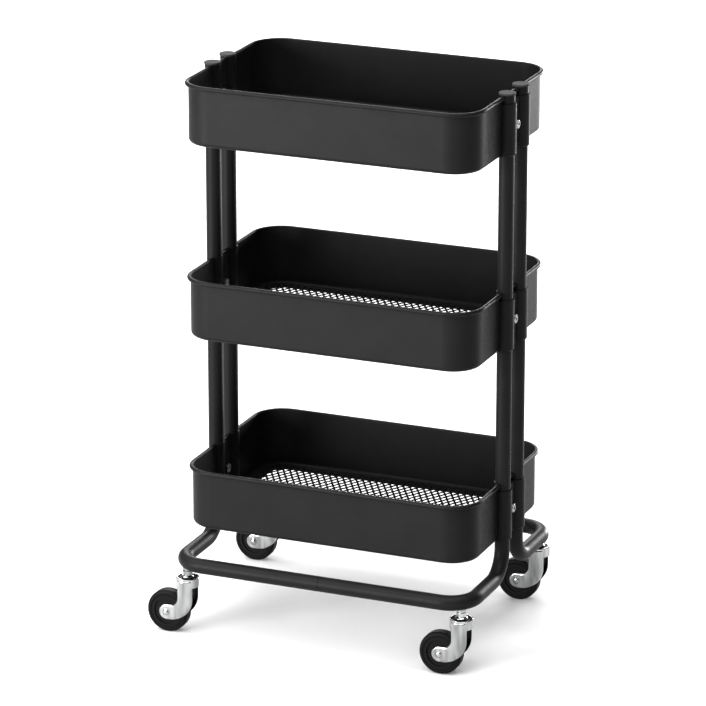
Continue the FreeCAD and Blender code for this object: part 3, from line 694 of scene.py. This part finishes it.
def add_arm(shape, sizes, rows, cup, flat, side):
    """Adds a hooked arm on one side of the wheel: round under the cup, flat at the axle, edges folded."""
    shares = [-share for share in EDGE_SHARES] + [0.0] + list(reversed(EDGE_SHARES))
    outer, inner = [], []
    for row in rows:
        outer.append([])
        inner.append([])
        for share in shares:
            reach = share * row.half
            x = row.middle[0] + row.across[0] * reach
            z = row.middle[1] + row.across[1] * reach
            for skin, depth in zip((outer, inner), arm_skins(sizes, row, cup, flat, reach)):
                skin[-1].append(shape.verts.new((x, side * depth, z)))
    for skin in (outer, inner):
        for here, there in zip(skin, skin[1:]):
            add_strip(shape, here, there)
    for edge in (0, -1):
        add_strip(shape, [row[edge] for row in outer], [row[edge] for row in inner])
        add_strip(shape, outer[edge], inner[edge])


class TROLLEY_OT_press_castor_forks(bpy.types.Operator):
    """Press the cup and the two hooked arms of each castor's fork"""

    bl_idname = "trolley.press_castor_forks"
    bl_label = "Press the castor forks"

    def execute(self, context):
        sizes = settings().castor
        for corner in CORNERS:
            node = f"{corner}_castor_fork"
            low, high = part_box(node)
            axle = middle_of(f"{corner}_castor_axle")
            cup = (high[1] - low[1]) / 2
            pivot_x = high[0] - cup
            top = high[2]
            shape = bmesh.new()
            self.add_cup(shape, sizes, cup - sizes.proud, top)
            rows = arm_rows(sizes, pivot_x - axle.x, axle.z, top)
            for side in (1, -1):
                add_arm(shape, sizes, rows, cup, axle_seat(corner), side)
            mesh = finished_mesh(f"{corner}_castor_pressing", shape, SOFT_ANGLE)
            mesh.transform(Matrix.Translation((pivot_x, axle.y, 0.0)))
            add_piece(f"{corner}_castor_pressing", mesh, f"{corner}_swivel", "castor_chrome", node)
            seat = Vector((pivot_x, axle.y, top - sizes.lip))
            self.lay_dark_cup_ring(corner, sizes, seat, cup - sizes.gauge)
        return {"FINISHED"}

    def add_cup(self, shape, sizes, outer, top):
        """Adds the cup round the swivel, with its skirt, plate and rounded rim."""
        inner = outer - sizes.gauge
        plate = top - sizes.lip
        drops = [CUP_RIM_EDGE * step / CUP_RIM_STEPS for step in range(CUP_RIM_STEPS, -1, -1)]
        rim = [(outer - rounding(drop, CUP_RIM_EDGE), top - drop) for drop in drops]
        add_turned(shape, [
            (sizes.bore, plate - sizes.gauge),
            (inner, plate - sizes.gauge),
            (inner, top - sizes.skirt),
            (outer, top - sizes.skirt),
            *rim,
            (inner, top),
            (inner, plate),
            (sizes.bore, plate),
            (sizes.bore, plate - sizes.gauge),
        ], CUP_TURN_STEPS)

    def lay_dark_cup_ring(self, corner, sizes, seat, reach):
        """Lays the dark ring in the cup, round the collar; that it is a dust seal is not known."""
        shape = bmesh.new()
        inner = sizes.flange + DARK_CUP_RING_INNER_PLAY
        outer = reach - sizes.proud - DARK_CUP_RING_OUTER_PLAY
        rise = DARK_CUP_RING_RISE
        section = [(inner, 0.0), (outer, 0.0), (outer, rise), (inner, rise), (inner, 0.0)]
        add_turned(shape, section, CUP_TURN_STEPS)
        mesh = finished_mesh(f"{corner}_castor_dark_cup_ring", shape)
        mesh.transform(Matrix.Translation(seat))
        add_piece(f"{corner}_castor_dark_cup_ring", mesh, f"{corner}_swivel", "hub_plastic")


class TROLLEY_OT_turn_castor_collars(bpy.types.Operator):
    """Turn the flanged hexagon collar that holds each castor's stem"""

    bl_idname = "trolley.turn_castor_collars"
    bl_label = "Turn the castor collars"

    def execute(self, context):
        sizes = settings().castor
        for corner in CORNERS:
            node = f"{corner}_castor_cone_nut"
            low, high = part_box(node)
            rise = high[2] - low[2]
            shape = bmesh.new()
            add_turned(shape, [
                (sizes.bore, 0.0),
                (sizes.flange, 0.0),
                (sizes.flange, rise * FLANGE_EDGE_SHARE),
                (sizes.flange * FLANGE_TAPER_SHARE, rise * FLANGE_TOP_SHARE),
                (sizes.waist, rise * FLANGE_TOP_SHARE),
                (sizes.waist, rise * CROWN_LOW_SHARE),
                (sizes.waist * CROWN_SWELL_SHARE, rise * CROWN_LOW_SHARE),
                (sizes.waist * CROWN_SWELL_SHARE, rise),
                (sizes.bore, rise),
                (sizes.bore, 0.0),
            ], SMALL_TURN_STEPS)
            add_hexagon(shape, sizes.collar, sizes.bore,
                        rise * HEXAGON_LOW_SHARE, rise * HEXAGON_HIGH_SHARE)
            soften(shape, COLLAR_EDGE)
            mesh = finished_mesh(f"{corner}_castor_collar", shape)
            middle = middle_of(node)
            mesh.transform(Matrix.Translation((middle.x, middle.y, low[2])))
            add_piece(f"{corner}_castor_collar", mesh, "frame", "castor_chrome", node)
        return {"FINISHED"}


class TROLLEY_OT_set_axle_rivets(bpy.types.Operator):
    """Set the domed rivet and its pressed ring in each fork"""

    bl_idname = "trolley.set_axle_rivets"
    bl_label = "Set the axle rivets"

    def execute(self, context):
        sizes = settings().castor
        for corner in CORNERS:
            node = f"{corner}_castor_axle"
            low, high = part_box(node)
            reach = (high[1] - low[1]) / 2
            seat = axle_seat(corner)
            half = [(sizes.rivet * share, reach - drop) for share, drop in DOME]
            half += [
                (sizes.rivet, seat + GROOVE_RISE),
                (sizes.rivet + GROOVE_WIDTH, seat + GROOVE_RISE),
                (sizes.rivet + RING_START, seat + RING_RISE),
                (sizes.washer - RING_EDGE, seat + RING_RISE),
                (sizes.washer, seat + RING_EDGE_RISE),
                (sizes.washer, seat),
                (sizes.shank, seat),
            ]
            other_half = [(radius, -height) for radius, height in reversed(half)]
            shape = bmesh.new()
            add_turned(shape, half + other_half, SMALL_TURN_STEPS)
            mesh = finished_mesh(f"{corner}_axle_rivet", shape, SOFT_ANGLE)
            mesh.transform(Matrix.Translation(middle_of(node)) @ Matrix.Rotation(math.pi / 2, 4, "X"))
            add_piece(f"{corner}_axle_rivet", mesh, f"{corner}_swivel", "castor_chrome", node)
        return {"FINISHED"}


class TROLLEY_OT_finish_solids(bpy.types.Operator):
    """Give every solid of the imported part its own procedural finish"""

    bl_idname = "trolley.finish_solids"
    bl_label = "Finish the solids"

    def execute(self, context):
        for entry in frame["record"]["subparts"]:
            solid = frame["nodes"][entry["node"]]
            solid.data.materials.clear()
            solid.data.materials.append(finish_for(entry["material_slot"]))
        return {"FINISHED"}


class TROLLEY_OT_lay_mesh_floors(bpy.types.Operator):
    """Lay a panel of expanded metal in each tray"""

    bl_idname = "trolley.lay_mesh_floors"
    bl_label = "Lay the mesh floors"

    def execute(self, context):
        sizes = settings().mesh_floor
        for tier in TIERS:
            node = f"{tier}_mesh_floor"
            low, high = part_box(node)
            half_x = (high[0] - low[0]) / 2
            half_y = (high[1] - low[1]) / 2
            mesh = expanded_metal(f"{tier}_expanded_metal", half_x, half_y, sizes)
            mesh.transform(Matrix.Translation(middle_of(node)))
            add_piece(f"{tier}_expanded_metal", mesh, "frame", "powder_coat", node)
        return {"FINISHED"}


class TROLLEY_OT_set_stage(bpy.types.Operator):
    """Set up the pale floor, the soft lights and the camera"""

    bl_idname = "trolley.set_stage"
    bl_label = "Set the stage"

    def execute(self, context):
        studio = settings().studio
        self.lay_floor(studio.floor_reach)
        self.fill_surroundings(context.scene)
        for softbox in SOFTBOXES:
            self.hang_softbox(softbox)
        self.open_skylight()
        self.stand_camera(context.scene, studio)
        context.scene.view_settings.view_transform = "Standard"
        context.scene.view_settings.look = "None"
        return {"FINISHED"}

    def lay_floor(self, reach):
        """Lays the wide pale floor."""
        shape = bmesh.new()
        bmesh.ops.create_grid(shape, x_segments=FLOOR_SEGMENTS, y_segments=FLOOR_SEGMENTS, size=reach)
        mesh = bpy.data.meshes.new("studio_floor")
        shape.to_mesh(mesh)
        shape.free()
        finish = Finish("studio_floor")
        finish.shine(specular=0.1)
        finish.tint(finish.noise(size=0.4), (FLOOR_GREY, FLOOR_GREY, FLOOR_GREY), spread=0.01)
        finish.roughen(finish.noise(size=0.02), low=0.85, high=0.95)
        mesh.materials.append(finish.material)
        floor = bpy.data.objects.new("studio_floor", mesh)
        bpy.context.scene.collection.objects.link(floor)

    def fill_surroundings(self, scene):
        """Fills the room with light that grows towards the front left."""
        world = bpy.data.worlds.new("studio_surroundings")
        world.use_nodes = True
        scene.world = world
        nodes = world.node_tree.nodes
        links = world.node_tree.links
        light = nodes["Background"]
        light.inputs["Color"].default_value = (1.0, 1.0, 1.0, 1.0)
        direction = nodes.new("ShaderNodeTexCoord")
        facing = nodes.new("ShaderNodeVectorMath")
        facing.operation = "DOT_PRODUCT"
        facing.inputs[1].default_value = BRIGHT_SIDE.normalized()
        links.new(direction.outputs["Generated"], facing.inputs[0])
        level = nodes.new("ShaderNodeMapRange")
        level.inputs["From Min"].default_value = AWAY_FROM_BRIGHT
        level.inputs["From Max"].default_value = TOWARDS_BRIGHT
        level.inputs["To Min"].default_value = DIM_LEVEL
        level.inputs["To Max"].default_value = BRIGHT_LEVEL
        links.new(facing.outputs["Value"], level.inputs["Value"])
        links.new(level.outputs["Result"], light.inputs["Strength"])

    def hang_softbox(self, softbox):
        """Hangs a square area light that faces the middle of the trolley."""
        light = bpy.data.lights.new(softbox.name, "AREA")
        light.shape = "SQUARE"
        light.size = softbox.size
        light.energy = softbox.power
        lamp = bpy.data.objects.new(softbox.name, light)
        lamp.location = softbox.place
        lamp.rotation_euler = (LIT_MIDDLE - Vector(softbox.place)).to_track_quat("-Z", "Y").to_euler()
        bpy.context.scene.collection.objects.link(lamp)

    def open_skylight(self):
        """Opens a wide soft light overhead."""
        light = bpy.data.lights.new("skylight", "SUN")
        light.energy = SKYLIGHT_STRENGTH
        light.angle = SKYLIGHT_SPREAD
        lamp = bpy.data.objects.new("skylight", light)
        lamp.rotation_euler = SKYLIGHT_TILT
        bpy.context.scene.collection.objects.link(lamp)

    def stand_camera(self, scene, studio):
        """Stands the camera in its place, with no shift."""
        lens = bpy.data.cameras.new("studio_camera")
        lens.lens = studio.lens
        lens.sensor_width = SENSOR_WIDTH
        lens.clip_end = VIEW_DEPTH
        camera = bpy.data.objects.new("studio_camera", lens)
        camera.location = studio.place
        camera.rotation_euler = (math.pi / 2 - studio.elevation, 0.0, studio.azimuth)
        scene.collection.objects.link(camera)
        scene.camera = camera


OPERATORS = (
    TROLLEY_OT_finish_solids,
    TROLLEY_OT_lay_mesh_floors,
    TROLLEY_OT_press_castor_forks,
    TROLLEY_OT_turn_castor_collars,
    TROLLEY_OT_set_axle_rivets,
    TROLLEY_OT_set_stage,
)


class TROLLEY_PT_looks(bpy.types.Panel):
    """Lists the steps that dress the trolley"""

    bl_label = "Trolley"
    bl_idname = "TROLLEY_PT_looks"
    bl_space_type = "VIEW_3D"
    bl_region_type = "UI"
    bl_category = "Trolley"

    def draw(self, context):
        for operator in OPERATORS:
            self.layout.operator(operator.bl_idname)


CLASSES = (
    FinishColours,
    MeshFloorSizes,
    CastorSizes,
    StudioSettings,
    TrolleySettings,
    *OPERATORS,
    TROLLEY_PT_looks,
)


def register():
    """Makes the settings, operators and panel known to Blender."""
    for kind in CLASSES:
        bpy.utils.register_class(kind)
    bpy.types.Scene.trolley = PointerProperty(type=TrolleySettings)


def unregister():
    """Takes the settings, operators and panel out again."""
    del bpy.types.Scene.trolley
    for kind in reversed(CLASSES):
        bpy.utils.unregister_class(kind)


def main():
    """Dresses the trolley."""
    register()
    bpy.ops.trolley.finish_solids()
    bpy.ops.trolley.lay_mesh_floors()
    bpy.ops.trolley.press_castor_forks()
    bpy.ops.trolley.turn_castor_collars()
    bpy.ops.trolley.set_axle_rivets()
    bpy.ops.trolley.set_stage()


if __name__ == "__main__":
    main()
